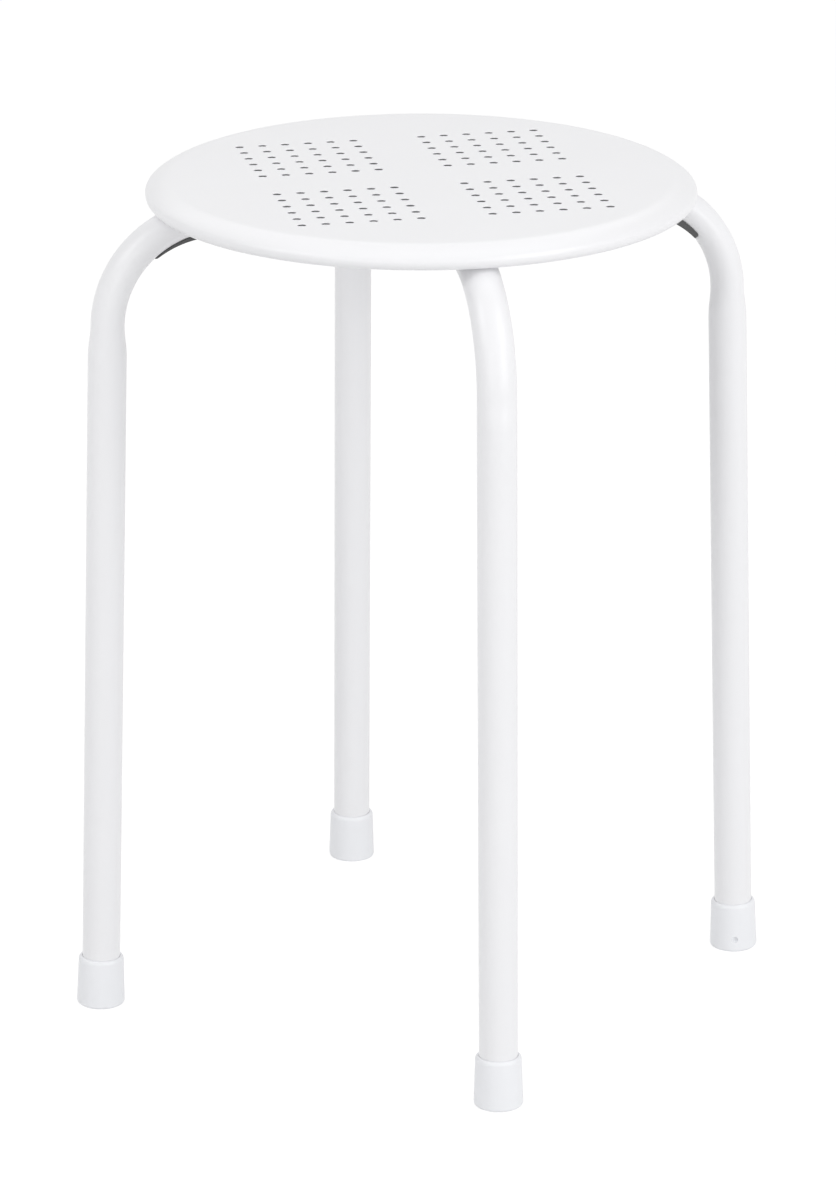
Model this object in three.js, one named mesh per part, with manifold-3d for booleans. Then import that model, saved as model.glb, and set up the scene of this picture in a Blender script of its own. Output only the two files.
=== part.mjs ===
// Stacking stool: a perforated sheet-steel seat pan on two bent steel tubes that cross under it.
// Millimetres, +Z up, floor at Z = 0, one leg towards each of +X, +Y, -X and -Y.
import * as THREE from 'three';
import { mergeVertices } from 'three/addons/utils/BufferGeometryUtils.js';
import Module from 'manifold-3d';

// Seat pan, pressed from sheet
const SEAT_HEIGHT = 450;
const SEAT_DIAMETER = 288;
const SHEET = 1.2;
const PAN_DEPTH = 11.5; // top face to the underside of the rolled hem
const CROWN_RADIUS = 20; // shallow rounding from the flat top
const CROWN_TURN = THREE.MathUtils.degToRad(40); // how far it turns down
const CORNER_RADIUS = 3.2; // from there down to the wall
const HEM_RADIUS = 2.2; // outside of the sheet's edge where it is rolled inward

// Perforation: four square fields of holes with a blank cross between them
const HOLE_DIAMETER = 4.6;
const HOLE_PITCH = 12.4;
const HOLES_PER_SIDE = 6;
const BLANK_PITCHES = 3; // from the last hole of one field to the first of the next

// Frame tubes
const TUBE_DIAMETER = 20.3;
const TUBE_WALL = 1.5;
const BEND_RADIUS = 58; // to the tube's axis
const BEND_OVALITY = 0.867; // the tube's depth in the plane of a bend, as a share of its diameter
const OVAL_RUN = 16; // length over which the round tube turns oval beside a bend
const LEG_SPLAY = THREE.MathUtils.degToRad(1.64);
const RIM_TO_LEG = 13; // free width between the rim and a leg, which lets stools stack
const HEM_CLEARANCE = 1; // between the rolled hem and the bends that pass under it

// Crossing, where each tube is pressed to about half its height so that the two lap
const PRESS_CLEARANCE = 2.5; // flat length beyond the other tube's pressed width
const PRESS_TAPER = 26; // from pressed to round

// Feet
const FOOT_WALL = 1.7; // at the mouth
const FOOT_FLARE = 0.7; // wider at the sole than at the mouth, on each side
const FOOT_HEIGHT = 27;
const FOOT_SOLE = 4;
const FOOT_LIP = 1.2; // rounding of the mouth's outer edge
const FOOT_EDGE = 1.8; // rounding of the sole's edge
const FOOT_TRIM = 0.4; // moulded below the leg's end point, then level with the floor

// Stacking pads under the bends
const PAD_THICKNESS = 1.9; // below the tube, at the pad's upper end
const PAD_TOE_THICKNESS = 0.7; // where it has thinned to at its lower end
const PAD_WIDTH = 12;
const PAD_START = THREE.MathUtils.degToRad(8); // along the bend, from its upper end
const PAD_END = THREE.MathUtils.degToRad(48);
const PAD_EDGE = 0.7; // chamfer along the pad's lower edges
const PEG_DIAMETER = 5;
const PEG_LENGTH = 4; // into the tube

// Fixings: studs welded under the pan, held by nuts inside the tubes, and a rivet at the crossing
const STUD_DIAMETER = 5;
const STUD_FLANGE_DIAMETER = 8;
const STUD_FLANGE = 1;
const STUD_PROUD = 1; // stud beyond the nut
const HOLE_PLAY = 0.6; // added to the diameter of a hole round what passes through it
const NUT_ACROSS_FLATS = 8;
const NUT_HEIGHT = 5;
const WASHER_DIAMETER = 11;
const WASHER_THICKNESS = 2.6; // at its middle
const ACCESS_PLAY = 1.5; // added to the washer's diameter for the hole that it goes in through
const SADDLE_LENGTH = 24;
const SADDLE_WALL = 4; // beside the tube
const SADDLE_SETBACK = 21; // from the start of a bend in to the stud
const RIVET_DIAMETER = 8;
const RIVET_HEAD_DIAMETER = 14;
const RIVET_HEAD = 2;
const RIVET_HEAD_EDGE = 1; // chamfer round each head

const FIT_GAP = 0.3; // between touching pieces
const OVERRUN = 2; // a cutting tool beyond the face that it cuts

// Facets round each kind of form
const PAN_FACETS = 52;
const HOLE_FACETS = 8;
const TUBE_FACETS = 16;
const FOOT_FACETS = 18;
const FIXING_FACETS = 12;
const BEND_STEPS = 8;
const PAD_STEPS = 5;
const TAPER_STEPS = 3;
const ARC_STEPS = 4;

// Places worked out from the sizes above
const seatRadius = SEAT_DIAMETER / 2;
const tubeRadius = TUBE_DIAMETER / 2;
const panUnderside = SEAT_HEIGHT - SHEET;
const legTopRadius = seatRadius + RIM_TO_LEG + tubeRadius;
const bendCentreRadius = legTopRadius - BEND_RADIUS * Math.cos(LEG_SPLAY);
const bendTurn = Math.PI / 2 - LEG_SPLAY;

// The bends pass as high under the hem, and the crossing as high under the pan, as they have room to
const bendDepth = (BEND_OVALITY * TUBE_DIAMETER) / 2;
const hemReach = Math.max(seatRadius - 2 * HEM_RADIUS - bendCentreRadius, 0);
const bendTop = Math.sqrt((BEND_RADIUS + bendDepth) ** 2 - hemReach ** 2) - BEND_RADIUS;
const underHem = SEAT_HEIGHT - PAN_DEPTH - HEM_CLEARANCE - bendTop;
const underPan = panUnderside - 2 * FIT_GAP - RIVET_HEAD - tubeRadius;
const runHeight = Math.min(underHem, underPan);
const bendCentreHeight = runHeight - BEND_RADIUS;
const legTopHeight = bendCentreHeight + BEND_RADIUS * Math.sin(LEG_SPLAY);
const legLength = legTopHeight / Math.cos(LEG_SPLAY);
const footRadius = legTopRadius + legTopHeight * Math.tan(LEG_SPLAY);
const studRadius = bendCentreRadius - SADDLE_SETBACK;

// Each pressed half takes half the tube's height, and keeps the tube's girth
const pressedHeight = tubeRadius - FIT_GAP / 2;
const pressedWidth = pressedHeight + (Math.PI * (TUBE_DIAMETER - pressedHeight)) / 2;
const pressedReach = pressedWidth / 2 + PRESS_CLEARANCE;
const pressShift = (TUBE_DIAMETER - pressedHeight) / 2;

const wasm = await Module();
wasm.setup();

const stool = new THREE.Group();

// Finishes
const paintedSteel = { color: 0xecedef, roughness: 0.42, metalness: 0 };
const footPlastic = { color: 0xe9ecf1, roughness: 0.5, metalness: 0 };
const padPlastic = { color: 0x5a5a5b, roughness: 0.6, metalness: 0 };
const saddlePlastic = { color: 0xc9cbcd, roughness: 0.6, metalness: 0 };
const zincSteel = { color: 0xb4b7ba, roughness: 0.35, metalness: 0.9 };

function addPiece(name, geometry, finish) {
  const mesh = new THREE.Mesh(geometry, new THREE.MeshStandardMaterial(finish));
  mesh.name = name;
  stool.add(mesh);
  return mesh;
}

// A closed mesh becomes a solid that can be joined and cut, and comes back
function toSolid(geometry) {
  const bare = geometry.clone();
  bare.deleteAttribute('normal');
  bare.deleteAttribute('uv');
  const merged = mergeVertices(bare);
  return new wasm.Manifold(new wasm.Mesh({
    numProp: 3,
    vertProperties: new Float32Array(merged.attributes.position.array),
    triVerts: new Uint32Array(merged.index.array),
  }));
}

function toGeometry(solid) {
  const mesh = solid.getMesh();
  const geometry = new THREE.BufferGeometry();
  geometry.setAttribute('position', new THREE.BufferAttribute(mesh.vertProperties, 3));
  geometry.setIndex(new THREE.BufferAttribute(mesh.triVerts, 1));
  geometry.computeVertexNormals();
  return geometry;
}

function cut(geometry, tools) {
  let solid = toSolid(geometry);
  for (const tool of tools) {
    solid = solid.subtract(toSolid(tool));
  }
  return toGeometry(solid);
}

// An upright cylinder between two heights
function upright(diameter, bottom, top, facets = FIXING_FACETS) {
  const geometry = new THREE.CylinderGeometry(diameter / 2, diameter / 2, top - bottom, facets);
  geometry.rotateX(Math.PI / 2);
  geometry.translate(0, 0, (top + bottom) / 2);
  return geometry;
}

// A profile of radius and height, revolved about Z
function revolve(profile, facets) {
  const geometry = new THREE.LatheGeometry(profile, facets);
  geometry.rotateX(Math.PI / 2);
  return geometry;
}

// Points of an elliptical arc from one angle to another
function arc(centreX, centreY, radiusX, radiusY, from, to, steps = ARC_STEPS) {
  const points = [];
  for (let i = 0; i <= steps; i += 1) {
    const angle = from + ((to - from) * i) / steps;
    points.push(new THREE.Vector2(
      centreX + radiusX * Math.cos(angle),
      centreY + radiusY * Math.sin(angle),
    ));
  }
  return points;
}

// Skin over a row of rings with equal counts: either a loop of rings, or one with both ends capped
function loft(rings, isLoop) {
  const sides = rings[0].length;
  const positions = [];
  const indices = [];
  for (const ring of rings) {
    for (const point of ring) {
      positions.push(point.x, point.y, point.z);
    }
  }
  const bands = isLoop ? rings.length : rings.length - 1;
  for (let i = 0; i < bands; i += 1) {
    const here = i * sides;
    const next = ((i + 1) % rings.length) * sides;
    for (let k = 0; k < sides; k += 1) {
      const turn = (k + 1) % sides;
      indices.push(here + k, here + turn, next + turn);
      indices.push(here + k, next + turn, next + k);
    }
  }
  if (!isLoop) {
    const outline = rings[0].map((point) => point.section);
    const last = (rings.length - 1) * sides;
    for (const [a, b, c] of THREE.ShapeUtils.triangulateShape(outline, [])) {
      indices.push(c, b, a);
      indices.push(last + a, last + b, last + c);
    }
  }
  const geometry = new THREE.BufferGeometry();
  geometry.setAttribute('position', new THREE.Float32BufferAttribute(positions, 3));
  geometry.setIndex(indices);
  return geometry;
}

// Seat pan: flat top, rounded edge, short wall and a hem rolled inward
function panProfile() {
  const cornerCentre = seatRadius - CORNER_RADIUS;
  const crownCentre = cornerCentre + (CORNER_RADIUS - CROWN_RADIUS) * Math.sin(CROWN_TURN);
  const crownHeight = SEAT_HEIGHT - CROWN_RADIUS;
  const cornerHeight = crownHeight + (CROWN_RADIUS - CORNER_RADIUS) * Math.cos(CROWN_TURN);
  const hemCentre = seatRadius - HEM_RADIUS;
  const hemHeight = SEAT_HEIGHT - PAN_DEPTH + HEM_RADIUS;
  const upward = Math.PI / 2;
  const roundingAt = (inset) => {
    const crown = CROWN_RADIUS - inset;
    const corner = CORNER_RADIUS - inset;
    return [
      ...arc(cornerCentre, cornerHeight, corner, corner, 0, upward - CROWN_TURN),
      ...arc(crownCentre, crownHeight, crown, crown, upward - CROWN_TURN, upward).slice(1),
    ];
  };
  const hemInside = arc(hemCentre, hemHeight, HEM_RADIUS - SHEET, HEM_RADIUS - SHEET, 0, -Math.PI);
  const hem = arc(hemCentre, hemHeight, HEM_RADIUS, HEM_RADIUS, -Math.PI, 0);
  return [
    new THREE.Vector2(0, panUnderside),
    ...roundingAt(SHEET).reverse(),
    ...hemInside,
    ...hem,
    ...roundingAt(0),
    new THREE.Vector2(0, SEAT_HEIGHT),
  ];
}

function holeTools() {
  const tools = [];
  const first = (BLANK_PITCHES / 2) * HOLE_PITCH;
  for (const sideX of [-1, 1]) {
    for (const sideY of [-1, 1]) {
      for (let i = 0; i < HOLES_PER_SIDE; i += 1) {
        for (let j = 0; j < HOLES_PER_SIDE; j += 1) {
          const bottom = panUnderside - OVERRUN;
          const top = SEAT_HEIGHT + OVERRUN;
          const hole = upright(HOLE_DIAMETER, bottom, top, HOLE_FACETS);
          hole.translate(sideX * (first + i * HOLE_PITCH), sideY * (first + j * HOLE_PITCH), 0);
          tools.push(hole);
        }
      }
    }
  }
  return tools;
}

addPiece('seat_pan', cut(revolve(panProfile(), PAN_FACETS), holeTools()), paintedSteel);

// A station of a frame tube's path, in the plane of the tube: u outward, z up.
// tilt is the turn of the path from level, and pressed is 1 where the tube is pressed flat.
function station(u, z, tilt, oval, pressed) {
  const round = new THREE.Vector2(tubeRadius, tubeRadius);
  const bent = new THREE.Vector2(tubeRadius, bendDepth);
  const flat = new THREE.Vector2(pressedWidth / 2, pressedHeight / 2);
  const half = round.lerp(bent, oval).lerp(flat, pressed);
  return { u, z, tilt, half, pressed };
}

// Half a frame tube, from the crossing out along the run, round the bend and down to the foot
function tubePath() {
  const stations = [];
  for (let i = 0; i <= TAPER_STEPS; i += 1) {
    const share = i / TAPER_STEPS;
    const pressed = (1 + Math.cos(Math.PI * share)) / 2;
    stations.push(station(pressedReach + PRESS_TAPER * share, runHeight, 0, 0, pressed));
  }
  stations.push(station(bendCentreRadius - OVAL_RUN, runHeight, 0, 0, 0));
  for (let i = 0; i <= BEND_STEPS; i += 1) {
    const tilt = (bendTurn * i) / BEND_STEPS;
    const u = bendCentreRadius + BEND_RADIUS * Math.sin(tilt);
    const z = bendCentreHeight + BEND_RADIUS * Math.cos(tilt);
    stations.push(station(u, z, tilt, 1, 0));
  }
  for (const down of [OVAL_RUN, legLength - FOOT_SOLE - FIT_GAP]) {
    const u = legTopRadius + down * Math.sin(LEG_SPLAY);
    const z = legTopHeight - down * Math.cos(LEG_SPLAY);
    stations.push(station(u, z, bendTurn, 0, 0));
  }
  return stations;
}

// The other half runs back from its foot to the crossing, mirrored
function mirrored(stations) {
  return stations.map((item) => ({ ...item, u: -item.u, tilt: -item.tilt })).reverse();
}

// Section of the tube at a station: round, oval, or flat with round sides, inset by the wall or not
function tubeRing({ u, z, tilt, half, pressed }, inset, press) {
  const a = half.x - inset;
  const b = half.y - inset;
  const ring = [];
  for (let k = 0; k < TUBE_FACETS; k += 1) {
    const angle = (2 * Math.PI * k) / TUBE_FACETS;
    const cos = Math.cos(angle);
    const side = Math.abs(cos) < 1e-9 ? 0 : Math.sign(cos);
    const across = a * cos + pressed * (a - b) * (side - cos);
    const up = b * Math.sin(angle) + press * pressed * pressShift;
    ring.push(new THREE.Vector3(u + up * Math.sin(tilt), across, z + up * Math.cos(tilt)));
  }
  return ring;
}

// Frame tube along X, pressed against its top at the crossing where press is 1, else its bottom.
// It is drilled for the rivet, the studs, their nuts' way in and the pads' pegs.
function frameTube(press) {
  const half = tubePath();
  const path = [...mirrored(half), ...half];
  const outside = path.map((item) => tubeRing(item, 0, press));
  const inside = path.map((item) => tubeRing(item, TUBE_WALL, press)).reverse();
  const low = runHeight - tubeRadius - OVERRUN;
  const high = runHeight + tubeRadius + OVERRUN;
  const tools = [upright(RIVET_DIAMETER + HOLE_PLAY, low, high)];
  for (const side of [-1, 1]) {
    const studHole = upright(STUD_DIAMETER + HOLE_PLAY, runHeight, high);
    const accessHole = upright(WASHER_DIAMETER + ACCESS_PLAY, low, runHeight);
    studHole.translate(side * studRadius, 0, 0);
    accessHole.translate(side * studRadius, 0, 0);
    const pegHole = upright(PEG_DIAMETER + HOLE_PLAY, -bendDepth - OVERRUN, 0);
    tools.push(studHole, accessHole, placeOnBend(pegHole, (PAD_START + PAD_END) / 2, side));
  }
  return cut(loft([...outside, ...inside], true), tools);
}

// Moves a piece modelled round the tube's axis, level and pointing along X, to an angle of a bend
function placeOnBend(geometry, tilt, side) {
  geometry.rotateY(tilt);
  geometry.translate(
    bendCentreRadius + BEND_RADIUS * Math.sin(tilt), 0, bendCentreHeight + BEND_RADIUS * Math.cos(tilt),
  );
  if (side < 0) {
    geometry.rotateZ(Math.PI);
  }
  return geometry;
}

addPiece('frame_tube_upper', frameTube(1), paintedSteel);
const lowerTube = addPiece('frame_tube_lower', frameTube(-1), paintedSteel);
lowerTube.rotation.z = Math.PI / 2;

// Saddle: a moulded block that beds the pan on the round tube
function saddle() {
  const groove = tubeRadius + FIT_GAP;
  const halfWidth = tubeRadius + SADDLE_WALL;
  const top = panUnderside - FIT_GAP - runHeight;
  const outline = new THREE.Shape([
    new THREE.Vector2(-halfWidth, 0),
    ...arc(0, 0, groove, groove, Math.PI, 0, 2 * ARC_STEPS),
    new THREE.Vector2(halfWidth, 0),
    new THREE.Vector2(halfWidth, top),
    new THREE.Vector2(-halfWidth, top),
  ]);
  const body = new THREE.ExtrudeGeometry(outline, { depth: SADDLE_LENGTH, bevelEnabled: false });
  body.translate(0, 0, -SADDLE_LENGTH / 2);
  body.rotateX(Math.PI / 2);
  body.rotateZ(Math.PI / 2);
  body.translate(0, 0, runHeight);
  return cut(body, [upright(STUD_FLANGE_DIAMETER + HOLE_PLAY, runHeight, SEAT_HEIGHT)]);
}

// Washer inside the tube, domed to fit its round wall, with a flat face for the nut
const washerTop = runHeight + tubeRadius - TUBE_WALL - FIT_GAP;
const washerFace = washerTop - WASHER_THICKNESS;

function domedWasher() {
  const radius = washerTop - runHeight;
  const fill = new THREE.CylinderGeometry(
    radius, radius, WASHER_DIAMETER + 2 * OVERRUN, 2 * TUBE_FACETS,
  );
  fill.rotateZ(Math.PI / 2);
  fill.translate(0, 0, runHeight);
  const blank = toSolid(upright(WASHER_DIAMETER, washerFace, SEAT_HEIGHT));
  const bore = upright(STUD_DIAMETER + HOLE_PLAY, runHeight, SEAT_HEIGHT + OVERRUN);
  return cut(toGeometry(blank.intersect(toSolid(fill))), [bore]);
}

// A flat ring between two heights
function ring(outer, inner, bottom, top) {
  return revolve([
    new THREE.Vector2(inner / 2, bottom),
    new THREE.Vector2(outer / 2, bottom),
    new THREE.Vector2(outer / 2, top),
    new THREE.Vector2(inner / 2, top),
    new THREE.Vector2(inner / 2, bottom),
  ], FIXING_FACETS);
}

// Stud with a welding flange at its head, long enough to stand proud of its nut
function stud() {
  const head = panUnderside - FIT_GAP;
  const tip = washerFace - FIT_GAP - NUT_HEIGHT - STUD_PROUD;
  return revolve([
    new THREE.Vector2(0, tip),
    new THREE.Vector2(STUD_DIAMETER / 2, tip),
    new THREE.Vector2(STUD_DIAMETER / 2, head - STUD_FLANGE),
    new THREE.Vector2(STUD_FLANGE_DIAMETER / 2, head - STUD_FLANGE),
    new THREE.Vector2(STUD_FLANGE_DIAMETER / 2, head),
    new THREE.Vector2(0, head),
  ], FIXING_FACETS);
}

function lockNut() {
  const corner = NUT_ACROSS_FLATS / Math.sqrt(3);
  const hexagon = new THREE.Shape(arc(0, 0, corner, corner, 0, (5 * Math.PI) / 3, 5));
  const bore = (STUD_DIAMETER + HOLE_PLAY) / 2;
  const turn = 2 * Math.PI * (1 - 1 / FIXING_FACETS);
  hexagon.holes.push(new THREE.Path(arc(0, 0, bore, bore, 0, turn, FIXING_FACETS - 1)));
  const body = new THREE.ExtrudeGeometry(hexagon, { depth: NUT_HEIGHT, bevelEnabled: false });
  body.translate(0, 0, washerFace - FIT_GAP - NUT_HEIGHT);
  return body;
}

// Rivet through both pressed tubes, with a low head at each end
const crossingTop = runHeight + tubeRadius + FIT_GAP;
const crossingBottom = runHeight - tubeRadius - FIT_GAP;

function rivet() {
  const shank = RIVET_DIAMETER / 2;
  const head = RIVET_HEAD_DIAMETER / 2;
  return revolve([
    new THREE.Vector2(0, crossingBottom - RIVET_HEAD),
    new THREE.Vector2(head - RIVET_HEAD_EDGE, crossingBottom - RIVET_HEAD),
    new THREE.Vector2(head, crossingBottom - RIVET_HEAD + RIVET_HEAD_EDGE),
    new THREE.Vector2(head, crossingBottom),
    new THREE.Vector2(shank, crossingBottom),
    new THREE.Vector2(shank, crossingTop),
    new THREE.Vector2(head, crossingTop),
    new THREE.Vector2(head, crossingTop + RIVET_HEAD - RIVET_HEAD_EDGE),
    new THREE.Vector2(head - RIVET_HEAD_EDGE, crossingTop + RIVET_HEAD),
    new THREE.Vector2(0, crossingTop + RIVET_HEAD),
  ], FIXING_FACETS);
}

// Section of a stacking pad, hollowed to the tube, with a flat bottom
function padSection(thickness) {
  const side = PAD_WIDTH / 2;
  const bottom = bendDepth + thickness;
  const grip = Math.asin(side / (tubeRadius + FIT_GAP));
  return [
    new THREE.Vector2(-side, -bottom + PAD_EDGE),
    new THREE.Vector2(-side + PAD_EDGE, -bottom),
    new THREE.Vector2(side - PAD_EDGE, -bottom),
    new THREE.Vector2(side, -bottom + PAD_EDGE),
    ...arc(
      0, 0, tubeRadius + FIT_GAP, bendDepth + FIT_GAP, grip - Math.PI / 2, -grip - Math.PI / 2,
    ),
  ];
}

// Stacking pad: a moulded strip under the bend that thins towards its lower end, pegged into the tube
function stackingPad() {
  const rings = [];
  for (let i = 0; i <= PAD_STEPS; i += 1) {
    const share = i / PAD_STEPS;
    const tilt = PAD_START + (PAD_END - PAD_START) * share;
    const thickness = PAD_THICKNESS + (PAD_TOE_THICKNESS - PAD_THICKNESS) * share;
    rings.push(padSection(thickness).map((point) => {
      const reach = BEND_RADIUS + point.y;
      const place = new THREE.Vector3(
        bendCentreRadius + reach * Math.sin(tilt), point.x, bendCentreHeight + reach * Math.cos(tilt),
      );
      place.section = point;
      return place;
    }));
  }
  const pegFoot = -bendDepth - (PAD_THICKNESS + PAD_TOE_THICKNESS) / 4;
  const peg = upright(PEG_DIAMETER, pegFoot, -bendDepth + PEG_LENGTH);
  placeOnBend(peg, (PAD_START + PAD_END) / 2, 1);
  return toGeometry(toSolid(loft(rings, false)).add(toSolid(peg)));
}

// Foot: a ferrule that the leg stands in, modelled along the leg and levelled at the floor
function foot() {
  const bore = tubeRadius + FIT_GAP;
  const top = bore + FOOT_WALL;
  const sole = top + FOOT_FLARE;
  const body = revolve([
    new THREE.Vector2(0, -FOOT_TRIM),
    ...arc(sole - FOOT_EDGE, FOOT_EDGE - FOOT_TRIM, FOOT_EDGE, FOOT_EDGE, -Math.PI / 2, 0, 2),
    ...arc(top - FOOT_LIP, FOOT_HEIGHT - FOOT_LIP, FOOT_LIP, FOOT_LIP, 0, Math.PI / 2, 2),
    new THREE.Vector2(bore, FOOT_HEIGHT),
    new THREE.Vector2(bore, FOOT_SOLE),
    new THREE.Vector2(0, FOOT_SOLE),
  ], FOOT_FACETS);
  body.rotateY(-LEG_SPLAY);
  body.translate(footRadius, 0, 0);
  const ground = new THREE.BoxGeometry(4 * sole, 4 * sole, FOOT_HEIGHT);
  ground.translate(footRadius, 0, -FOOT_HEIGHT / 2);
  return cut(body, [ground]);
}

// What each arm of the frame carries, modelled on the +X arm and turned to its own
const arms = ['right', 'back', 'left', 'front'];
arms.forEach((arm, i) => {
  const turn = (Math.PI / 2) * i;
  const place = (name, geometry, finish) => {
    addPiece(`${name}_${arm}`, geometry, finish).rotation.z = turn;
  };
  const placeAtStud = (name, geometry, finish) => {
    geometry.translate(studRadius, 0, 0);
    place(name, geometry, finish);
  };
  placeAtStud('saddle', saddle(), saddlePlastic);
  placeAtStud('stud', stud(), zincSteel);
  placeAtStud('domed_washer', domedWasher(), zincSteel);
  placeAtStud('lock_nut', lockNut(), zincSteel);
  place('stacking_pad', stackingPad(), padPlastic);
  place('foot', foot(), footPlastic);
});

// The crossing is riveted, and a spacer round the rivet's head, as wide as the tube, beds the pan on it
addPiece('crossing_rivet', rivet(), zincSteel);
addPiece('centre_spacer', ring(
  pressedWidth, RIVET_HEAD_DIAMETER + HOLE_PLAY, crossingTop, panUnderside - FIT_GAP,
), saddlePlastic);

export default stool;
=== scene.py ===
"""Stacking stool of white powder-coated steel: its finished look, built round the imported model."""

import math

import bmesh
import bpy
from mathutils import Matrix, Vector


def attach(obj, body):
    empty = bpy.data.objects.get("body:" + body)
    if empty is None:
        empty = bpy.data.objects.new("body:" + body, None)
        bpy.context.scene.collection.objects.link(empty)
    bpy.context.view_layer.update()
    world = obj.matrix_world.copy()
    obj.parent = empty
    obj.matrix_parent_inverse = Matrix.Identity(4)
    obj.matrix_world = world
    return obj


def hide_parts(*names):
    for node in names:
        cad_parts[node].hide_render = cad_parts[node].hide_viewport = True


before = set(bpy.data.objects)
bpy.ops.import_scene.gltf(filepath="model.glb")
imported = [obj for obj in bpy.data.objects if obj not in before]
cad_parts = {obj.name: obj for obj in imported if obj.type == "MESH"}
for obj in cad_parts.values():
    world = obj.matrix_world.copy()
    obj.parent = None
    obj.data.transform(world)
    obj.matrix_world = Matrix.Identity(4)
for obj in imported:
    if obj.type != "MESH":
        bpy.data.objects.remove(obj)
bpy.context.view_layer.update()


# Frame tubes
# Two lengths of round welded steel tube, 20 mm across, each bent into a pair of legs with a level run
# between them. Cold bending flattens the bends a little, and each middle is pressed to half its height
# so that the two lap. They are drilled for the rivet, the studs and the nuts' way in.

MM = 0.001
TUBE_RADIUS = 10.15 * MM
TUBE_WALL = 1.5 * MM
TUBE_SIDES = 64
BEND_RADIUS = 58 * MM
BEND_HALF_DEPTH = 8.8 * MM
BEND_STEPS = 36
OVAL_RUN = 16 * MM
OVAL_STEPS = 8
LEG_SPLAY = math.radians(1.64)
LEG_TOP_RADIUS = 167.15 * MM
LEG_END_HEIGHT = 4.3 * MM
LEG_STEPS = 12
RUN_HEIGHT = 436.02 * MM
PRESSED_REACH = 15.6 * MM
PRESSED_HALF_HEIGHT = 5 * MM
PRESSED_HALF_WIDTH = 13.09 * MM
PRESS_TAPER = 26 * MM
PRESS_SHIFT = 5.15 * MM
STUD_REACH = 88.18 * MM
STUD_HOLE_RADIUS = 2.8 * MM
ACCESS_HOLE_RADIUS = 6.25 * MM
RIVET_HOLE_RADIUS = 4.3 * MM
CREASE = math.radians(35)
MERGED = 0.001 * MM

right_angle = math.pi / 2
bend_turn = right_angle - LEG_SPLAY
bend_centre = Vector((
    LEG_TOP_RADIUS - BEND_RADIUS * math.cos(LEG_SPLAY), 0, RUN_HEIGHT - BEND_RADIUS,
))


def linear(hex_colour):
    channels = [int(hex_colour[i:i + 2], 16) / 255 for i in (1, 3, 5)]
    return [c / 12.92 if c <= 0.04045 else ((c + 0.055) / 1.055) ** 2.4 for c in channels] + [1]


def add_node(tree, kind, inputs, **settings):
    node = tree.nodes.new(kind)
    for name, value in settings.items():
        setattr(node, name, value)
    for socket, value in inputs.items():
        if isinstance(value, bpy.types.NodeSocket):
            tree.links.new(value, node.inputs[socket])
        else:
            node.inputs[socket].default_value = value
    return node


def new_material(name):
    material = bpy.data.materials.new(name)
    material.use_nodes = True
    material.node_tree.nodes.clear()
    return material, material.node_tree


def stand_in_for(node, bm, material):
    bmesh.ops.recalc_face_normals(bm, faces=bm.faces[:])
    mesh = bpy.data.meshes.new(node)
    bm.to_mesh(mesh)
    bm.free()
    mesh.shade_smooth()
    mesh.set_sharp_from_angle(angle=CREASE)
    mesh.materials.append(material)
    piece = bpy.data.objects.new("finished_" + node, mesh)
    bpy.context.scene.collection.objects.link(piece)
    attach(piece, "root")
    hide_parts(node)
    return piece


# Polyester powder coat, baked on steel: white, half gloss, with a faint orange peel about 2 mm across
# and a bloom in its sheen that is only just seen.
powder_coat, tree = new_material("white_powder_coat")
place = add_node(tree, "ShaderNodeTexCoord", {})
peel = add_node(tree, "ShaderNodeTexNoise", {
    "Vector": place.outputs["Object"], "Scale": 480, "Detail": 2, "Roughness": 0.4,
})
bloom = add_node(tree, "ShaderNodeTexNoise", {
    "Vector": place.outputs["Object"], "Scale": 22, "Detail": 3, "Roughness": 0.5,
})
sheen = add_node(tree, "ShaderNodeMapRange", {
    "Value": bloom.outputs["Fac"], "From Min": 0.3, "From Max": 0.7, "To Min": 0.285, "To Max": 0.33,
})
tone = add_node(tree, "ShaderNodeMix", {
    "Factor": bloom.outputs["Fac"], "A": linear("#ececee"), "B": linear("#eeeef0"),
}, data_type="RGBA")
relief = add_node(tree, "ShaderNodeBump", {
    "Height": peel.outputs["Fac"], "Strength": 0.35, "Distance": 0.05 * MM,
})
paint = add_node(tree, "ShaderNodeBsdfPrincipled", {
    "Base Color": tone.outputs["Result"], "Roughness": sheen.outputs["Result"], "IOR": 1.5,
    "Normal": relief.outputs["Normal"],
})
add_node(tree, "ShaderNodeOutputMaterial", {"Surface": paint.outputs["BSDF"]})


def draw_out(bm, end, reach, steps):
    for _ in range(steps):
        made = bmesh.ops.extrude_edge_only(bm, edges=end)["geom"]
        verts = {item for item in made if isinstance(item, bmesh.types.BMVert)}
        bmesh.ops.translate(bm, verts=list(verts), vec=reach / steps)
        end = [e for e in made if isinstance(e, bmesh.types.BMEdge) and verts.issuperset(e.verts)]
    return end


def flatten(bm, end, centre, turn, share):
    verts = list({vert for edge in end for vert in edge.verts})
    across = Matrix.Translation(centre) @ Matrix.Rotation(turn, 4, "Y")
    bmesh.ops.scale(bm, verts=verts, vec=(1, 1, share), space=across.inverted())


# How much of its depth the tube keeps at a share of the way from its round run into the bend
def depth_kept(share):
    smooth = share * share * (3 - 2 * share)
    return 1 + (BEND_HALF_DEPTH / TUBE_RADIUS - 1) * smooth


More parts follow.
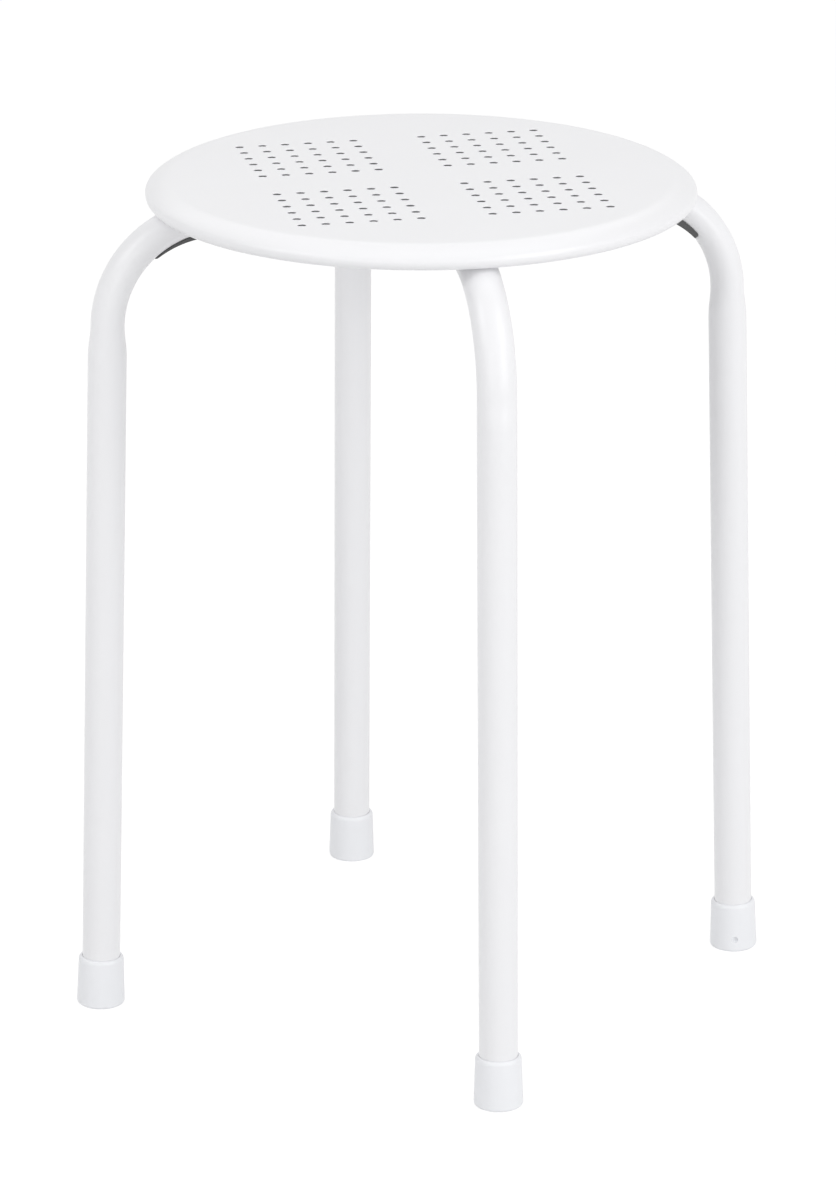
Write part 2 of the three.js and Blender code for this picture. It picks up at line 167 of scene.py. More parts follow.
# The press turns the round section into one with flat faces and round edges, and side says whether it
# lifts the middle of the tube or lowers it.
def press(bm, side):
    for vert in bm.verts:
        share = (vert.co.x - PRESSED_REACH) / PRESS_TAPER
        if share >= 1:
            continue
        pressed = (1 + math.cos(math.pi * max(share, 0))) / 2
        half_width = TUBE_RADIUS + (PRESSED_HALF_WIDTH - TUBE_RADIUS) * pressed
        half_height = TUBE_RADIUS + (PRESSED_HALF_HEIGHT - TUBE_RADIUS) * pressed
        across = vert.co.y / TUBE_RADIUS
        up = (vert.co.z - RUN_HEIGHT) / TUBE_RADIUS
        edge = math.copysign(1, across) if abs(vert.co.y) > MERGED else 0
        vert.co.y = half_width * across + pressed * (half_width - half_height) * (edge - across)
        vert.co.z = RUN_HEIGHT + half_height * up + side * pressed * PRESS_SHIFT


def upright(radius, bottom, top, x=0, segments=48):
    bm = bmesh.new()
    bmesh.ops.create_cone(
        bm, cap_ends=True, segments=segments, radius1=radius, radius2=radius, depth=top - bottom,
        matrix=Matrix.Translation((x, 0, (top + bottom) / 2)),
    )
    return bm


def to_object(bm):
    bmesh.ops.recalc_face_normals(bm, faces=bm.faces[:])
    mesh = bpy.data.meshes.new("blank")
    bm.to_mesh(mesh)
    bm.free()
    blank = bpy.data.objects.new("blank", mesh)
    bpy.context.scene.collection.objects.link(blank)
    return blank


def drilled(bm, cuts, wall=0):
    blank = to_object(bm)
    if wall:
        rolled = blank.modifiers.new("wall", "SOLIDIFY")
        rolled.thickness = wall
        rolled.offset = -1
    drills = [to_object(cut) for cut in cuts]
    for drill in drills:
        hole = blank.modifiers.new("hole", "BOOLEAN")
        hole.object = drill
        hole.operation = "DIFFERENCE"
        hole.solver = "EXACT"
    finished = blank.evaluated_get(bpy.context.evaluated_depsgraph_get())
    bm = bmesh.new()
    bm.from_mesh(finished.to_mesh())
    for used in [blank, *drills]:
        bpy.data.objects.remove(used)
    return bm


# One half is drawn out from the middle, pressed and mirrored, and then gets its wall and its holes.
def frame_tube(node, side, turn):
    bm = bmesh.new()
    section = Matrix.Translation((0, 0, RUN_HEIGHT)) @ Matrix.Rotation(right_angle, 4, "Y")
    bmesh.ops.create_circle(bm, segments=TUBE_SIDES, radius=TUBE_RADIUS, matrix=section)
    end = bm.edges[:]
    round_run = bend_centre.x - OVAL_RUN - PRESSED_REACH - PRESS_TAPER
    for reach, steps in ((PRESSED_REACH, 3), (PRESS_TAPER, 14), (round_run, 24)):
        end = draw_out(bm, end, Vector((reach, 0, 0)), steps)
    for i in range(OVAL_STEPS):
        end = draw_out(bm, end, Vector((OVAL_RUN / OVAL_STEPS, 0, 0)), 1)
        share = depth_kept((i + 1) / OVAL_STEPS) / depth_kept(i / OVAL_STEPS)
        flatten(bm, end, Vector((0, 0, RUN_HEIGHT)), 0, share)
    bent = bmesh.ops.spin(
        bm, geom=end, cent=bend_centre, axis=(0, 1, 0), angle=bend_turn, steps=BEND_STEPS,
    )["geom_last"]
    end = [item for item in bent if isinstance(item, bmesh.types.BMEdge)]
    down = Vector((math.sin(LEG_SPLAY), 0, -math.cos(LEG_SPLAY)))
    leg_top = bend_centre + BEND_RADIUS * Vector((math.cos(LEG_SPLAY), 0, math.sin(LEG_SPLAY)))
    for i in range(OVAL_STEPS):
        end = draw_out(bm, end, down * OVAL_RUN / OVAL_STEPS, 1)
        share = depth_kept(1 - (i + 1) / OVAL_STEPS) / depth_kept(1 - i / OVAL_STEPS)
        flatten(bm, end, leg_top, bend_turn, share)
    straight = (leg_top.z - LEG_END_HEIGHT) / math.cos(LEG_SPLAY) - OVAL_RUN
    draw_out(bm, end, down * straight, LEG_STEPS)
    press(bm, side)
    whole = bm.verts[:] + bm.edges[:] + bm.faces[:]
    bmesh.ops.mirror(bm, geom=whole, axis="X", merge_dist=MERGED)
    bmesh.ops.remove_doubles(bm, verts=bm.verts[:], dist=MERGED)
    low = RUN_HEIGHT - 2 * TUBE_RADIUS
    high = RUN_HEIGHT + 2 * TUBE_RADIUS
    cuts = [upright(RIVET_HOLE_RADIUS, low, high)]
    for x in (-STUD_REACH, STUD_REACH):
        cuts.append(upright(STUD_HOLE_RADIUS, RUN_HEIGHT, high, x))
        cuts.append(upright(ACCESS_HOLE_RADIUS, low, RUN_HEIGHT, x))
    bm = drilled(bm, cuts, TUBE_WALL)
    bmesh.ops.rotate(bm, verts=bm.verts[:], cent=(0, 0, 0), matrix=Matrix.Rotation(turn, 3, "Z"))
    stand_in_for(node, bm, powder_coat)


frame_tube("frame_tube_upper", 1, 0)
frame_tube("frame_tube_lower", -1, right_angle)


# Seat pan
# A disc of 1.2 mm sheet steel, punched with four square fields of holes, then pressed to a rounded edge
# and a short wall whose lower edge is rolled inward to a hem. It is coated as the frame is.

SEAT_HEIGHT = 450 * MM
SEAT_RADIUS = 144 * MM
SHEET = 1.2 * MM
PAN_DEPTH = 11.5 * MM
PAN_SIDES = 240
CROWN_RADIUS = 20 * MM
CROWN_TURN = math.radians(40)
CORNER_RADIUS = 3.2 * MM
HEM_RADIUS = 4 * MM
FLAT_RING = 0.5 * MM
HOLE_RADIUS = 2.3 * MM
HOLE_ROUNDING = 0.5 * MM
FACET_SHARE = 0.71
HOLE_MARGIN = 0.25 * MM
HOLE_SIDES = 16
HOLE_PITCH = 12.4 * MM
HOLES_PER_SIDE = 6
BLANK_PITCHES = 3
SAME_HEIGHT = 0.01 * MM

# Hole walls: a dark grey steel whose darkness is painted shade, standing in for the shade inside each
# small punched hole, with a fine streaky variation in its tone.
hole_wall_painted_shade, tree = new_material("painted_shade_hole_walls")
place = add_node(tree, "ShaderNodeTexCoord", {})
streaks = add_node(tree, "ShaderNodeTexNoise", {
    "Vector": place.outputs["Object"], "Scale": 2500, "Detail": 2, "Roughness": 0.6,
})
tone = add_node(tree, "ShaderNodeMix", {
    "Factor": streaks.outputs["Fac"], "A": linear("#606062"), "B": linear("#747477"),
}, data_type="RGBA")
steel = add_node(tree, "ShaderNodeBsdfPrincipled", {
    "Base Color": tone.outputs["Result"], "Metallic": 0.4, "Roughness": 0.6,
})
add_node(tree, "ShaderNodeOutputMaterial", {"Surface": steel.outputs["BSDF"]})


def arc(centre, radii, start, stop, steps):
    angles = [start + (stop - start) * i / steps for i in range(steps + 1)]
    return [(centre[0] + radii[0] * math.cos(a), centre[1] + radii[1] * math.sin(a)) for a in angles]


def spun(outline, steps):
    bm = bmesh.new()
    verts = [bm.verts.new((radius, 0, height)) for radius, height in outline]
    edges = [bm.edges.new(pair) for pair in zip(verts, verts[1:])]
    bmesh.ops.spin(
        bm, geom=verts + edges, cent=(0, 0, 0), axis=(0, 0, 1), angle=2 * math.pi, steps=steps,
        use_merge=True,
    )
    bmesh.ops.remove_doubles(bm, verts=bm.verts[:], dist=MERGED)
    return bm


# Each hole is drawn down from the top: a flat margin, a rounding in two facets, and the wall.
def punch(bm, x, y):
    top = Matrix.Translation((x, y, SEAT_HEIGHT))
    radius = HOLE_RADIUS + HOLE_ROUNDING + HOLE_MARGIN
    start = set(bm.edges)
    bmesh.ops.create_circle(bm, segments=HOLE_SIDES, radius=radius, matrix=top)
    end = [edge for edge in bm.edges if edge not in start]
    long = FACET_SHARE * HOLE_ROUNDING
    short = HOLE_ROUNDING - long
    for drop, inward in ((0, HOLE_MARGIN), (short, long), (long, short)):
        end = draw_out(bm, end, Vector((0, 0, -drop)), 1)
        verts = list({vert for edge in end for vert in edge.verts})
        share = 1 - inward / radius
        radius -= inward
        bmesh.ops.scale(bm, verts=verts, vec=(share, share, 1), space=top.inverted())
    end = draw_out(bm, end, Vector((0, 0, HOLE_ROUNDING - SHEET)), 1)
    # The walls take the second material, whose dark grey is painted shade inside the holes.
    for wall in {face for edge in end for face in edge.link_faces}:
        wall.material_index = 1


crown_end = right_angle - CROWN_TURN
corner_reach = SEAT_RADIUS - CORNER_RADIUS
crown_reach = corner_reach + (CORNER_RADIUS - CROWN_RADIUS) * math.sin(CROWN_TURN)
crown_height = SEAT_HEIGHT - CROWN_RADIUS
corner_height = crown_height + (CROWN_RADIUS - CORNER_RADIUS) * math.cos(CROWN_TURN)
crown_centre = (crown_reach, crown_height)
corner_centre = (corner_reach, corner_height)
hem_centre = (SEAT_RADIUS - HEM_RADIUS, SEAT_HEIGHT - PAN_DEPTH + HEM_RADIUS)
crown, corner, hem = (radius - SHEET for radius in (CROWN_RADIUS, CORNER_RADIUS, HEM_RADIUS))
pan_outline = [
    (crown_reach - FLAT_RING, SEAT_HEIGHT),
    *arc(crown_centre, (CROWN_RADIUS, CROWN_RADIUS), right_angle, crown_end, 14),
    *arc(corner_centre, (CORNER_RADIUS, CORNER_RADIUS), crown_end, 0, 10)[1:],
    *arc(hem_centre, (HEM_RADIUS, HEM_RADIUS), 0, -math.pi, 16),
    *arc(hem_centre, (hem, hem), -math.pi, 0, 10),
    *arc(corner_centre, (corner, corner), 0, crown_end, 8),
    *arc(crown_centre, (crown, crown), crown_end, right_angle, 10)[1:],
    (crown_reach - FLAT_RING, SEAT_HEIGHT - SHEET),
]
pan = spun(pan_outline, PAN_SIDES)
first_hole = BLANK_PITCHES / 2 * HOLE_PITCH
offsets = [first_hole + HOLE_PITCH * i for i in range(HOLES_PER_SIDE)]
offsets = [-offset for offset in reversed(offsets)] + offsets
for x in offsets:
    for y in offsets:
        punch(pan, x, y)
for height in (SEAT_HEIGHT, SEAT_HEIGHT - SHEET):
    rims = [
        edge for edge in pan.edges
        if edge.is_boundary and all(abs(vert.co.z - height) < SAME_HEIGHT for vert in edge.verts)
    ]
    bmesh.ops.triangle_fill(pan, use_beauty=True, edges=rims, normal=(0, 0, 1))
seat_pan = stand_in_for("seat_pan", pan, powder_coat)
# The second material is the painted shade of the hole walls.
seat_pan.data.materials.append(hole_wall_painted_shade)


# Feet
# Ferrules moulded in white plastic, pushed on the ends of the legs. They widen a little to the sole,
# which is moulded level with the floor. Their mouth and sole have rounded edges, and the moulding gate
# leaves a small round dent low on one side.

FOOT_TOP_RADIUS = 12.15 * MM
FOOT_SOLE_RADIUS = 12.85 * MM
FOOT_SIDES = 96
FOOT_HEIGHT = 27 * MM
FOOT_SOLE = 4 * MM
FOOT_LIP = (1.8 * MM, 2.2 * MM)
MOUTH_GAP = 0.1 * MM
FIT_GAP = 0.3 * MM
FOOT_EDGE = 1.8 * MM
FOOT_TRIM = 0.4 * MM
FOOT_REACH = 178.02 * MM
GATE_HEIGHT = 7.2 * MM
GATE_TURN = math.radians(-101.5)
GATE_RADIUS = 1.8 * MM
GATE_DEPTH = 1.8 * MM
GATE_SIDES = 24

# Polypropylene, injection moulded: bluish white, satin, with a spark-eroded grain under a third of a
# millimetre across, drawn at half a millimetre so that it shows.
foot_plastic, tree = new_material("white_polypropylene")
place = add_node(tree, "ShaderNodeTexCoord", {})
grain = add_node(tree, "ShaderNodeTexNoise", {
    "Vector": place.outputs["Object"], "Scale": 2000, "Detail": 2, "Roughness": 0.6,
})
flow = add_node(tree, "ShaderNodeTexNoise", {
    "Vector": place.outputs["Object"], "Scale": 60, "Detail": 2, "Distortion": 0.6,
})
tone = add_node(tree, "ShaderNodeMix", {
    "Factor": flow.outputs["Fac"], "A": linear("#ebecef"), "B": linear("#edeef1"),
}, data_type="RGBA")
relief = add_node(tree, "ShaderNodeBump", {
    "Height": grain.outputs["Fac"], "Strength": 0.3, "Distance": 0.03 * MM,
})
plastic = add_node(tree, "ShaderNodeBsdfPrincipled", {
    "Base Color": tone.outputs["Result"], "Roughness": 0.42, "IOR": 1.49,
    "Normal": relief.outputs["Normal"],
})
add_node(tree, "ShaderNodeOutputMaterial", {"Surface": plastic.outputs["BSDF"]})

arms = {"right": 0, "back": right_angle, "left": math.pi, "front": -right_angle}
sole_corner = (FOOT_SOLE_RADIUS - FOOT_EDGE, FOOT_EDGE - FOOT_TRIM)
lip_corner = (FOOT_TOP_RADIUS - FOOT_LIP[0], FOOT_HEIGHT - FOOT_LIP[1])
foot_outline = [
    (0, -FOOT_TRIM),
    *arc(sole_corner, (FOOT_EDGE, FOOT_EDGE), -right_angle, 0, 8),
    *arc(lip_corner, FOOT_LIP, 0, right_angle, 10),
    (TUBE_RADIUS + MOUTH_GAP, FOOT_HEIGHT - MOUTH_GAP),
    (TUBE_RADIUS + FIT_GAP, FOOT_SOLE),
    (0, FOOT_SOLE),
]
gate_outline = arc((0, 0), (GATE_RADIUS, GATE_DEPTH), -right_angle, right_angle, 12)
gate_face = FOOT_SOLE_RADIUS + (FOOT_TOP_RADIUS - FOOT_SOLE_RADIUS) * GATE_HEIGHT / FOOT_HEIGHT
at_gate = Matrix.Rotation(GATE_TURN, 4, "Z") @ Matrix.Translation((gate_face, 0, GATE_HEIGHT))

# Each ferrule leans with its leg and is then trimmed level with the floor.
for arm, turn in arms.items():
    gate = spun(gate_outline, GATE_SIDES)
    gate.transform(at_gate @ Matrix.Rotation(right_angle, 4, "Y"))
    bm = drilled(spun(foot_outline, FOOT_SIDES), [gate])
    lean = Matrix.Translation((FOOT_REACH, 0, 0)) @ Matrix.Rotation(-LEG_SPLAY, 4, "Y")
    bm.transform(Matrix.Rotation(turn, 4, "Z") @ lean)
    whole = bm.verts[:] + bm.edges[:] + bm.faces[:]
    bmesh.ops.bisect_plane(bm, geom=whole, plane_co=(0, 0, 0), plane_no=(0, 0, 1), clear_inner=True)
    sole = [edge for edge in bm.edges if edge.is_boundary]
    bmesh.ops.contextual_create(bm, geom=sole)
    stand_in_for("foot_" + arm, bm, foot_plastic)


# Stacking pads
# Strips moulded in dark grey plastic, curved to the underside of each bend and pegged into the tube. Each
# has rounded corners and thins towards its lower end. They take the weight of a stack on the rim of the
# stool below, and none sits quite true, as they were pushed on by hand.

PAD_THICKNESS = 2.2 * MM
PAD_TOE_THICKNESS = 0.3 * MM
PAD_TAPER_POWER = 1.5
PAD_HALF_WIDTH = 6 * MM
PAD_START = math.radians(8)
PAD_END = math.radians(48)
PAD_STEPS = 48
PAD_EDGE = 0.5 * MM
PAD_CORNER = 3 * MM

# How each pad sits: millimetres to one side of the tube's middle, and degrees further round the bend
PAD_SEATS = {"right": (-1.3, 4), "back": (0.7, 0), "left": (-1.8, -6), "front": (0.6, 0)}

# Polyethylene, moulded: charcoal, satin, with a fine matt grain drawn at half a millimetre
pad_plastic, tree = new_material("charcoal_polyethylene")
place = add_node(tree, "ShaderNodeTexCoord", {})
grain = add_node(tree, "ShaderNodeTexNoise", {
    "Vector": place.outputs["Object"], "Scale": 1600, "Detail": 2, "Roughness": 0.6,
})
tone = add_node(tree, "ShaderNodeMix", {
    "Factor": grain.outputs["Fac"], "A": linear("#464647"), "B": linear("#505051"),
}, data_type="RGBA")
relief = add_node(tree, "ShaderNodeBump", {
    "Height": grain.outputs["Fac"], "Strength": 0.4, "Distance": 0.04 * MM,
})
charcoal = add_node(tree, "ShaderNodeBsdfPrincipled", {
    "Base Color": tone.outputs["Result"], "Roughness": 0.38, "IOR": 1.5,
    "Normal": relief.outputs["Normal"],
})
add_node(tree, "ShaderNodeOutputMaterial", {"Surface": charcoal.outputs["BSDF"]})

pad_hollow = (TUBE_RADIUS + FIT_GAP, BEND_HALF_DEPTH + FIT_GAP)
grip = math.asin(PAD_HALF_WIDTH / pad_hollow[0])
pad_bottom = BEND_HALF_DEPTH + PAD_THICKNESS
edge_reach = PAD_HALF_WIDTH - PAD_EDGE
pad_section = [
    *arc((-edge_reach, PAD_EDGE - pad_bottom), (PAD_EDGE, PAD_EDGE), -math.pi, -right_angle, 5),
    *arc((edge_reach, PAD_EDGE - pad_bottom), (PAD_EDGE, PAD_EDGE), -right_angle, 0, 5),
    *arc((0, 0), pad_hollow, grip - right_angle, -grip - right_angle, 16),
]


def hollow_at(across):
    return pad_hollow[1] * math.sqrt(1 - (across / pad_hollow[0]) ** 2)


# The bent strip gets its round corners, its place beside the tube's middle and its taper to the toe.
def mould_pad(bm, aside):
    for vert in bm.verts:
        arm = vert.co - bend_centre
        turn = math.atan2(arm.x, arm.z)
        depth = BEND_RADIUS - math.hypot(arm.x, arm.z)
        lowered = (depth - hollow_at(arm.y)) / (pad_bottom - hollow_at(arm.y))
        to_end = min(turn - PAD_START, PAD_END - turn) * BEND_RADIUS / PAD_CORNER
        rounded = math.sqrt(1 - (1 - min(max(to_end, 0), 1)) ** 2)
        across = aside + arm.y * (1 - (1 - rounded) * PAD_CORNER / PAD_HALF_WIDTH)
        share = min(max((turn - PAD_START) / (PAD_END - PAD_START), 0), 1)
        bottom = pad_bottom + (PAD_TOE_THICKNESS - PAD_THICKNESS) * share ** PAD_TAPER_POWER
        depth = hollow_at(across) + lowered * (bottom - hollow_at(across))
        reach = BEND_RADIUS - depth
        vert.co = bend_centre + Vector((reach * math.sin(turn), across, reach * math.cos(turn)))


for arm, (aside, along) in PAD_SEATS.items():
    bm = bmesh.new()
    ring = [bm.verts.new((0, across, up)) for across, up in pad_section]
    bm.faces.new(ring)
    bm.transform(Matrix.Translation(bend_centre + Vector((0, 0, BEND_RADIUS))))
    bmesh.ops.rotate(
        bm, verts=bm.verts[:], cent=bend_centre, matrix=Matrix.Rotation(PAD_START, 3, "Y"),
    )
    bmesh.ops.spin(
        bm, geom=bm.faces[:] + bm.edges[:] + bm.verts[:], cent=bend_centre, axis=(0, 1, 0),
        angle=PAD_END - PAD_START, steps=PAD_STEPS,
    )
    mould_pad(bm, aside * MM)
    slip = Matrix.Rotation(math.radians(along), 3, "Y")
    bmesh.ops.rotate(bm, verts=bm.verts[:], cent=bend_centre, matrix=slip)
    bm.transform(Matrix.Rotation(arms[arm], 4, "Z"))
    stand_in_for("stacking_pad_" + arm, bm, pad_plastic)


# Studs, nuts and washers
# Four studs are welded under the pan by their flanges and pass down into the tubes, where a lock nut on
# a domed washer draws each one tight. All are turned or pressed steel, zinc plated before they are fitted.

THREAD_RADIUS = 2.5 * MM
THREAD_PITCH = 0.8 * MM
THREAD_DEPTH = 0.4 * MM
STUD_TIP = 435.47 * MM
STUD_HEAD = 448.5 * MM
STUD_FLANGE_RADIUS = 4 * MM
STUD_FLANGE = 1 * MM
STUD_SIDES = 32
NUT_CORNER = 4.62 * MM
NUT_CHAMFER = 0.45 * MM
NUT_BOTTOM = 436.47 * MM
NUT_TOP = 441.47 * MM

# Bright zinc plate: bluish silver, satin, with a faint cloud in its sheen
zinc_steel, tree = new_material("bright_zinc_plate")
place = add_node(tree, "ShaderNodeTexCoord", {})
cloud = add_node(tree, "ShaderNodeTexNoise", {
    "Vector": place.outputs["Object"], "Scale": 900, "Detail": 3, "Roughness": 0.6,
})
dulled = add_node(tree, "ShaderNodeMapRange", {
    "Value": cloud.outputs["Fac"], "From Min": 0.3, "From Max": 0.7, "To Min": 0.28, "To Max": 0.4,
})
metal = add_node(tree, "ShaderNodeBsdfPrincipled", {
    "Base Color": linear("#b4b7ba"), "Metallic": 1, "Roughness": dulled.outputs["Result"],
})
add_node(tree, "ShaderNodeOutputMaterial", {"Surface": metal.outputs["BSDF"]})

thread_root = THREAD_RADIUS - THREAD_DEPTH
stud_neck = STUD_HEAD - STUD_FLANGE
stud_outline = [(0, STUD_TIP), (thread_root, STUD_TIP)]
for i in range(int((stud_neck - STUD_TIP) / THREAD_PITCH) - 1):
    crest = STUD_TIP + (i + 0.5) * THREAD_PITCH
    stud_outline += [(THREAD_RADIUS, crest), (thread_root, crest + THREAD_PITCH / 2)]
stud_outline += [
    (thread_root, stud_neck),
    (STUD_FLANGE_RADIUS, stud_neck),
    (STUD_FLANGE_RADIUS, STUD_HEAD),
    (0, STUD_HEAD),
]
for arm, turn in arms.items():
    at_stud = Matrix.Rotation(turn, 4, "Z") @ Matrix.Translation((STUD_REACH, 0, 0))
    bm = spun(stud_outline, STUD_SIDES)
    bm.transform(at_stud)
    stand_in_for("stud_" + arm, bm, zinc_steel)
    bm = upright(NUT_CORNER, NUT_BOTTOM, NUT_TOP, segments=6)
    corners = [
        edge for edge in bm.edges if abs(edge.verts[0].co.z - edge.verts[1].co.z) < SAME_HEIGHT
    ]
    bmesh.ops.bevel(
        bm, geom=corners, affect="EDGES", offset=NUT_CHAMFER, segments=3, profile=0.5, material=-1,
    )
    thread = upright(THREAD_RADIUS, NUT_BOTTOM - MM, NUT_TOP + MM, segments=STUD_SIDES)
    bm = drilled(bm, [thread])
    bm.transform(at_stud)
    stand_in_for("lock_nut_" + arm, bm, zinc_steel)
    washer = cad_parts["domed_washer_" + arm]
    washer.data.materials.clear()
    washer.data.materials.append(zinc_steel)


# Saddles and spacer
# Moulded blocks of light grey nylon bed the flat pan on the round tubes, one round each stud, and a flat
# ring of the same nylon fills the space over the crossing.

SADDLE_HALF_LENGTH = 12 * MM
SADDLE_HALF_WIDTH = 14.15 * MM
SADDLE_TOP = 448.5 * MM
SADDLE_BORE = 4.3 * MM
SADDLE_EDGE = 0.8 * MM
SPACER_RADIUS = 13.09 * MM
SPACER_BORE = 7.3 * MM
SPACER_BOTTOM = 446.47 * MM
SPACER_EDGE = 0.4 * MM
SPACER_SIDES = 64

# Nylon, moulded: light grey, satin, with a fine spark-eroded grain drawn at half a millimetre
saddle_plastic, tree = new_material("light_grey_nylon")
place = add_node(tree, "ShaderNodeTexCoord", {})
grain = add_node(tree, "ShaderNodeTexNoise", {
    "Vector": place.outputs["Object"], "Scale": 1600, "Detail": 2, "Roughness": 0.6,
})
tone = add_node(tree, "ShaderNodeMix", {
    "Factor": grain.outputs["Fac"], "A": linear("#c4c6c8"), "B": linear("#cdcfd1"),
}, data_type="RGBA")
relief = add_node(tree, "ShaderNodeBump", {
    "Height": grain.outputs["Fac"], "Strength": 0.4, "Distance": 0.05 * MM,
})
nylon = add_node(tree, "ShaderNodeBsdfPrincipled", {
    "Base Color": tone.outputs["Result"], "Roughness": 0.5, "IOR": 1.53,
    "Normal": relief.outputs["Normal"],
})
add_node(tree, "ShaderNodeOutputMaterial", {"Surface": nylon.outputs["BSDF"]})

groove = TUBE_RADIUS + FIT_GAP
saddle_outline = [
    (-SADDLE_HALF_WIDTH, 0),
    *arc((0, 0), (groove, groove), math.pi, 0, 32),
    (SADDLE_HALF_WIDTH, 0),
    (SADDLE_HALF_WIDTH, SADDLE_TOP - RUN_HEIGHT),
    (-SADDLE_HALF_WIDTH, SADDLE_TOP - RUN_HEIGHT),
]
for arm, turn in arms.items():
    bm = bmesh.new()
    corners = [bm.verts.new((-SADDLE_HALF_LENGTH, y, RUN_HEIGHT + z)) for y, z in saddle_outline]
    end = bm.faces.new(corners)
    made = bmesh.ops.extrude_face_region(bm, geom=[end])["geom"]
    far = [item for item in made if isinstance(item, bmesh.types.BMVert)]
    bmesh.ops.translate(bm, verts=far, vec=(2 * SADDLE_HALF_LENGTH, 0, 0))
    outer = [
        edge for edge in bm.edges
        if all(abs(vert.co.y) > groove for vert in edge.verts)
        and any(vert.co.z > RUN_HEIGHT + MM for vert in edge.verts)
    ]
    bmesh.ops.bevel(
        bm, geom=outer, affect="EDGES", offset=SADDLE_EDGE, segments=3, profile=0.5, material=-1,
    )
    bm = drilled(bm, [upright(SADDLE_BORE, RUN_HEIGHT, SADDLE_TOP + MM)])
    bm.transform(Matrix.Rotation(turn, 4, "Z") @ Matrix.Translation((STUD_REACH, 0, 0)))
    stand_in_for("saddle_" + arm, bm, saddle_plastic)

spacer_outline = [
    (SPACER_BORE, SPACER_BOTTOM),
    (SPACER_RADIUS - SPACER_EDGE, SPACER_BOTTOM),
    (SPACER_RADIUS, SPACER_BOTTOM + SPACER_EDGE),
    (SPACER_RADIUS, SADDLE_TOP),
    (SPACER_BORE, SADDLE_TOP),
    (SPACER_BORE, SPACER_BOTTOM),
]
stand_in_for("centre_spacer", spun(spacer_outline, SPACER_SIDES), saddle_plastic)


# Crossing rivet
# One zinc-plated steel rivet, with a low domed head at each end, holds the two pressed tubes together.

RIVET_RADIUS = 4 * MM
RIVET_DOME = (7 * MM, 2 * MM)
RIVET_SIDES = 48
CROSSING_BOTTOM = 425.57 * MM
CROSSING_TOP = 446.47 * MM

rivet_outline = [
    *arc((0, CROSSING_BOTTOM), RIVET_DOME, -right_angle, 0, 12),
    (RIVET_RADIUS, CROSSING_BOTTOM),
    (RIVET_RADIUS, CROSSING_TOP),
    *arc((0, CROSSING_TOP), RIVET_DOME, 0, right_angle, 12),
]
stand_in_for("crossing_rivet", spun(rivet_outline, RIVET_SIDES), zinc_steel)


# Floor, light and camera
# A white floor that runs into a white surround, open under the soles so that they are lit when they are
# seen from below. Two soft lamps stand high at the sides and two wide ones low in front, a card above
# the back shines in the paint, and the camera is at the photograph's place.

FLOOR_HALF_SIZE = 8
SOLE_OPENING = 12.1 * MM
SOLE_SIDES = 32
LAMP_AIM = Vector((0, 0, 0.3))


# 1 for the camera and for what is seen in gloss or through glass, and 0 for the light on the stool
def seen_share(tree):
    rays = add_node(tree, "ShaderNodeLightPath", {})
    seen_or_mirrored = add_node(tree, "ShaderNodeMath", {
        0: rays.outputs["Is Camera Ray"], 1: rays.outputs["Is Glossy Ray"],
    }, operation="MAXIMUM")
    seen = add_node(tree, "ShaderNodeMath", {
        0: seen_or_mirrored.outputs["Value"], 1: rays.outputs["Is Transmission Ray"],
    }, operation="MAXIMUM")
    return seen.outputs["Value"]


# To the eye the floor is white and keeps the stool's shadow, and it throws light back as a plain pale
# floor does. It is clear from below, so that the underside of the stool can be looked at.
floor_white, tree = new_material("white_floor")
lit = add_node(tree, "ShaderNodeBsdfDiffuse", {"Color": (0.8, 0.8, 0.8, 1)})
shadowed = add_node(tree, "ShaderNodeBsdfDiffuse", {"Color": (0.3, 0.3, 0.3, 1)})
glow = add_node(tree, "ShaderNodeEmission", {"Color": (1, 1, 1, 1), "Strength": 0.79})
bright = add_node(tree, "ShaderNodeAddShader", {
    0: shadowed.outputs["BSDF"], 1: glow.outputs["Emission"],
})
ground = add_node(tree, "ShaderNodeMixShader", {
    0: seen_share(tree), 1: lit.outputs["BSDF"], 2: bright.outputs["Shader"],
})
facing = add_node(tree, "ShaderNodeNewGeometry", {})
clear = add_node(tree, "ShaderNodeBsdfTransparent", {})
one_sided = add_node(tree, "ShaderNodeMixShader", {
    0: facing.outputs["Backfacing"], 1: ground.outputs["Shader"], 2: clear.outputs["BSDF"],
})
add_node(tree, "ShaderNodeOutputMaterial", {"Surface": one_sided.outputs["Shader"]})

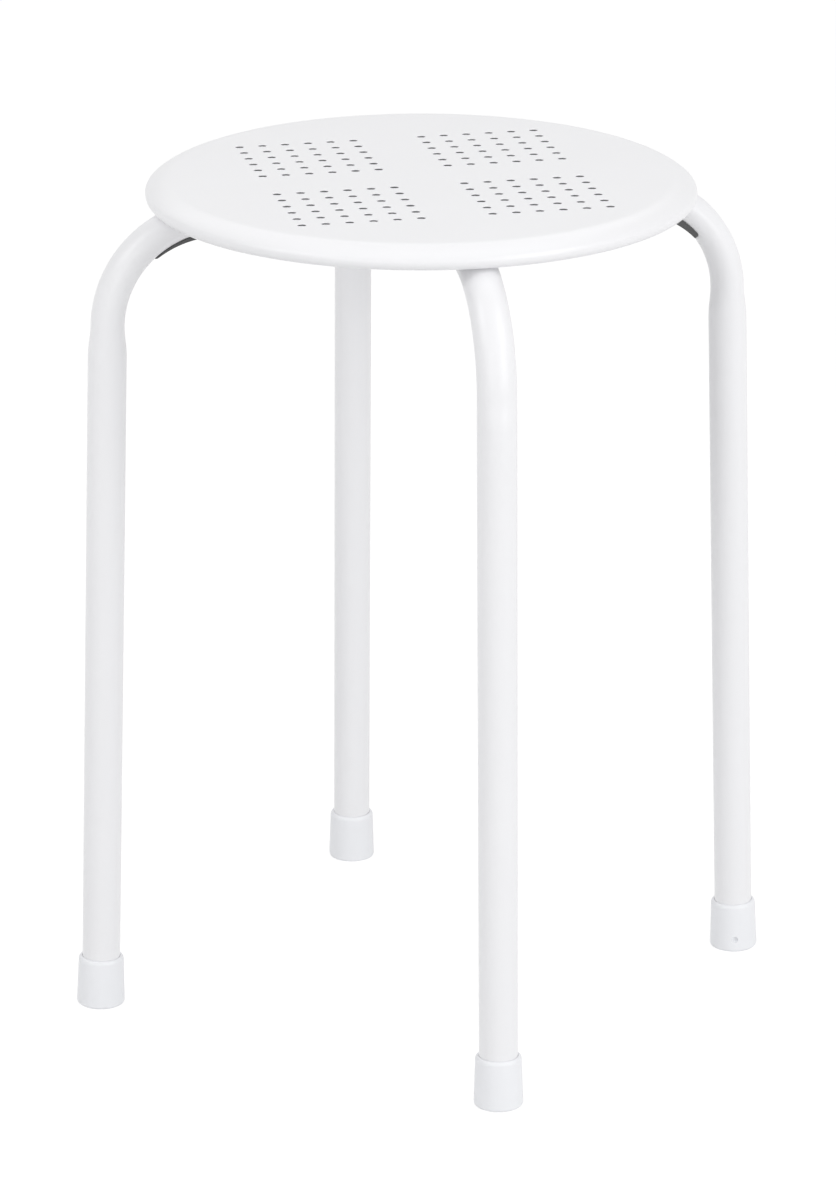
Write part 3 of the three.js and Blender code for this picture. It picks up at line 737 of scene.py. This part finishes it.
bm = bmesh.new()
bmesh.ops.create_grid(bm, x_segments=1, y_segments=1, size=FLOOR_HALF_SIZE)
for turn in arms.values():
    at_sole = Matrix.Rotation(turn, 4, "Z") @ Matrix.Translation((FOOT_REACH, 0, 0))
    bmesh.ops.create_circle(bm, segments=SOLE_SIDES, radius=SOLE_OPENING, matrix=at_sole)
bmesh.ops.delete(bm, geom=bm.faces[:], context="FACES_ONLY")
bmesh.ops.triangle_fill(bm, use_beauty=True, edges=bm.edges[:], normal=(0, 0, 1))
mesh = bpy.data.meshes.new("floor")
bm.to_mesh(mesh)
bm.free()
mesh.materials.append(floor_white)
floor = bpy.data.objects.new("floor", mesh)
bpy.context.scene.collection.objects.link(floor)

world = bpy.data.worlds.new("white_surround")
world.use_nodes = True
tree = world.node_tree
tree.nodes.clear()
level = add_node(tree, "ShaderNodeMapRange", {"Value": seen_share(tree), "To Min": 0.655, "To Max": 1})
surround = add_node(tree, "ShaderNodeBackground", {
    "Color": (1, 1, 1, 1), "Strength": level.outputs["Result"],
})
add_node(tree, "ShaderNodeOutputWorld", {"Surface": surround.outputs["Background"]})
bpy.context.scene.world = world

# Each soft lamp: its place in metres, the width and depth of its face, its power in watts and whether
# it is a card that only shines in the paint
for name, location, width, depth, power, is_card in (
    ("right_lamp", (1.45, -1.35, 2), 1.2, 1.2, 12.3, False),
    ("left_lamp", (-1.9, -0.6, 2), 1.2, 1.2, 11.8, False),
    ("low_right_lamp", (3.6, -5.7, 1.6), 3.6, 3.6, 96, False),
    ("low_left_lamp", (-3.9, -5.6, 1.6), 3.6, 3.6, 43, False),
    ("back_card", (0, 0.95, 2.2), 2.4, 3, 19, True),
):
    lamp = bpy.data.lights.new(name, "AREA")
    lamp.shape = "RECTANGLE"
    lamp.size = width
    lamp.size_y = depth
    lamp.energy = power
    softbox = bpy.data.objects.new(name, lamp)
    softbox.location = location
    softbox.rotation_euler = (LAMP_AIM - softbox.location).to_track_quat("-Z", "Y").to_euler()
    softbox.visible_camera = False
    softbox.visible_diffuse = not is_card
    bpy.context.scene.collection.objects.link(softbox)

lens = bpy.data.cameras.new("camera")
lens.lens = 164.17
camera = bpy.data.objects.new("camera", lens)
camera.location = (-0.6246, -2.6960, 1.1809)
camera.rotation_euler = (math.radians(90 - 19.227), 0, math.radians(-13.009))
bpy.context.scene.collection.objects.link(camera)
bpy.context.scene.camera = camera
bpy.context.scene.view_settings.view_transform = "Standard"
